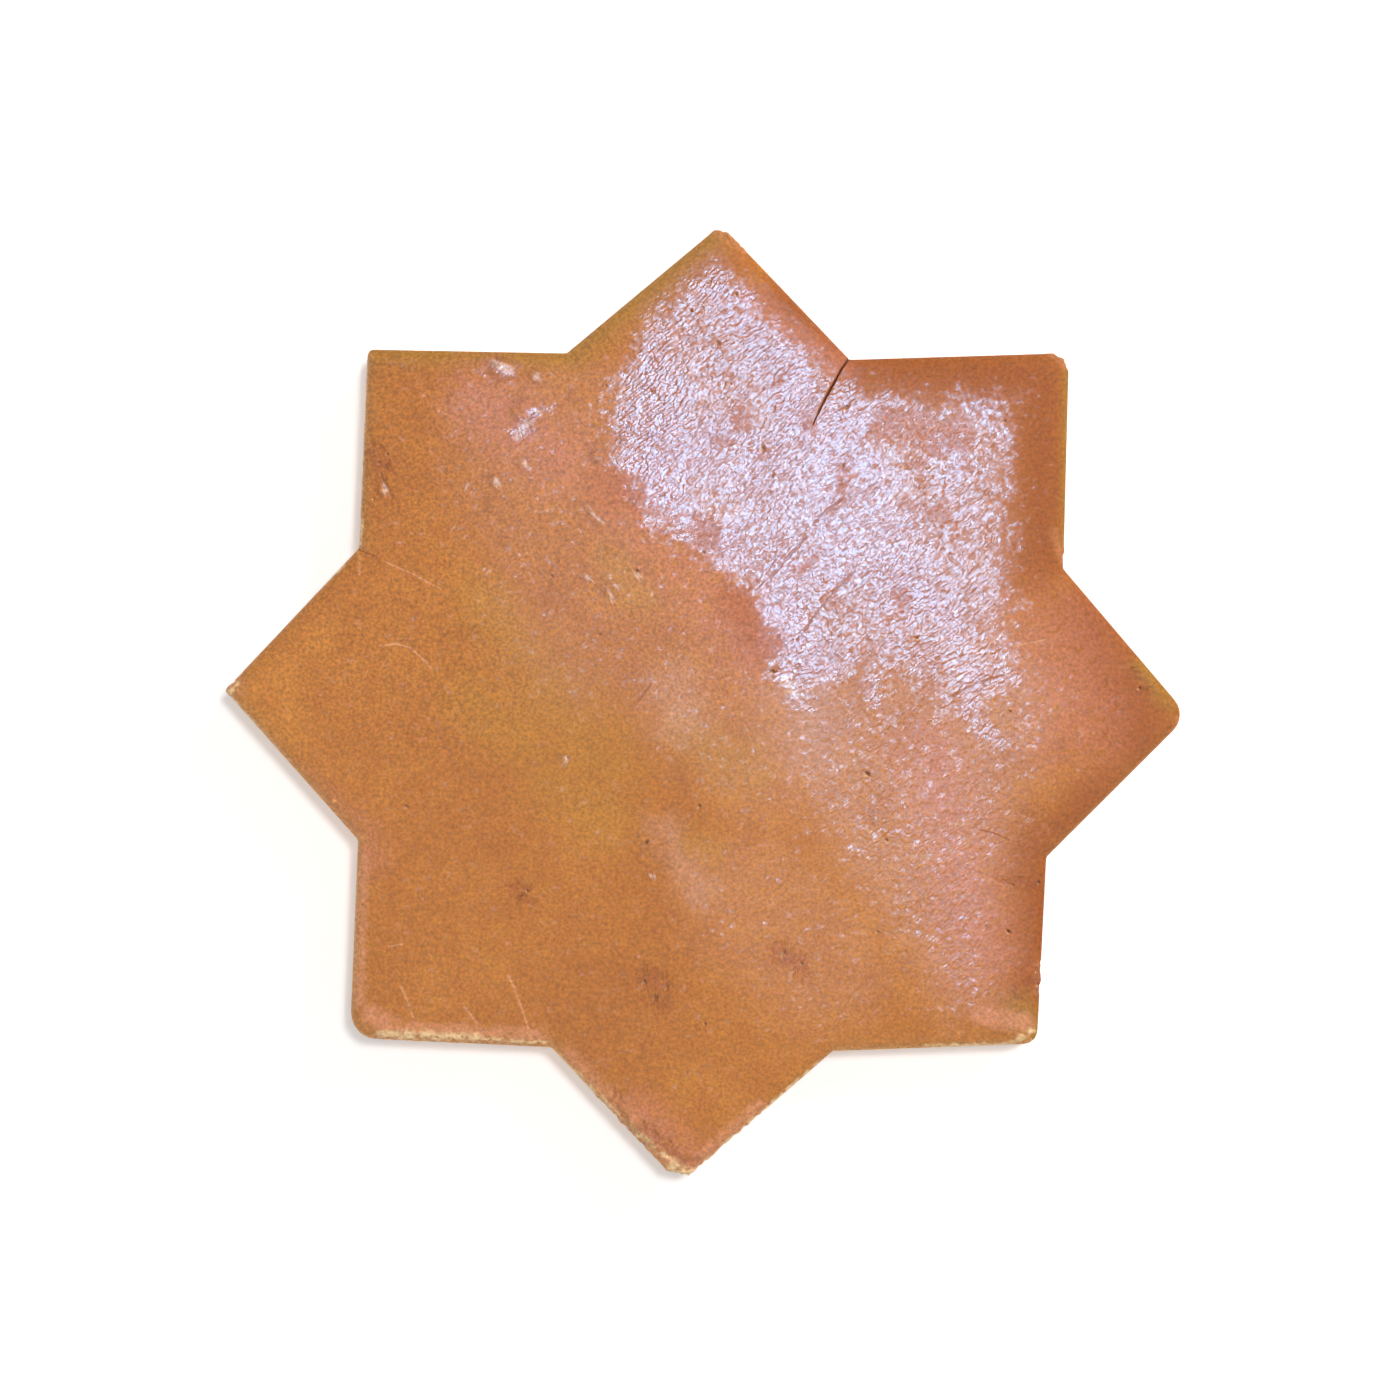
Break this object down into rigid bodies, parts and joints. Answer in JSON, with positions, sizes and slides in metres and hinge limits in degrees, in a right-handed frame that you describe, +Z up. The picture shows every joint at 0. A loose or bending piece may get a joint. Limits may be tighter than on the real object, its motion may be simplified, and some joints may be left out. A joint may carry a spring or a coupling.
{
  "type": "star-shaped terracotta floor tile",
  "caption": "Hand-pressed terracotta tile in the shape of an eight-pointed star, with a pillowed, sealed face and a flat back, for floors or walls laid with cross tiles.",
  "frame": {"origin": "on the flat back, under the middle of the bounding box", "axes": "+Z up, out of the face; +Y towards the blunt north tip; +X towards the round east tip"},
  "size_m": [0.2036, 0.202, 0.018],
  "materials": {
    "terracotta": "low-fired orange-brown clay with ochre and rose flashing, sealed to a satin gloss"
  },
  "bodies": {
    "root": {"star_tile": "terracotta"}
  },
  "joints": []
}
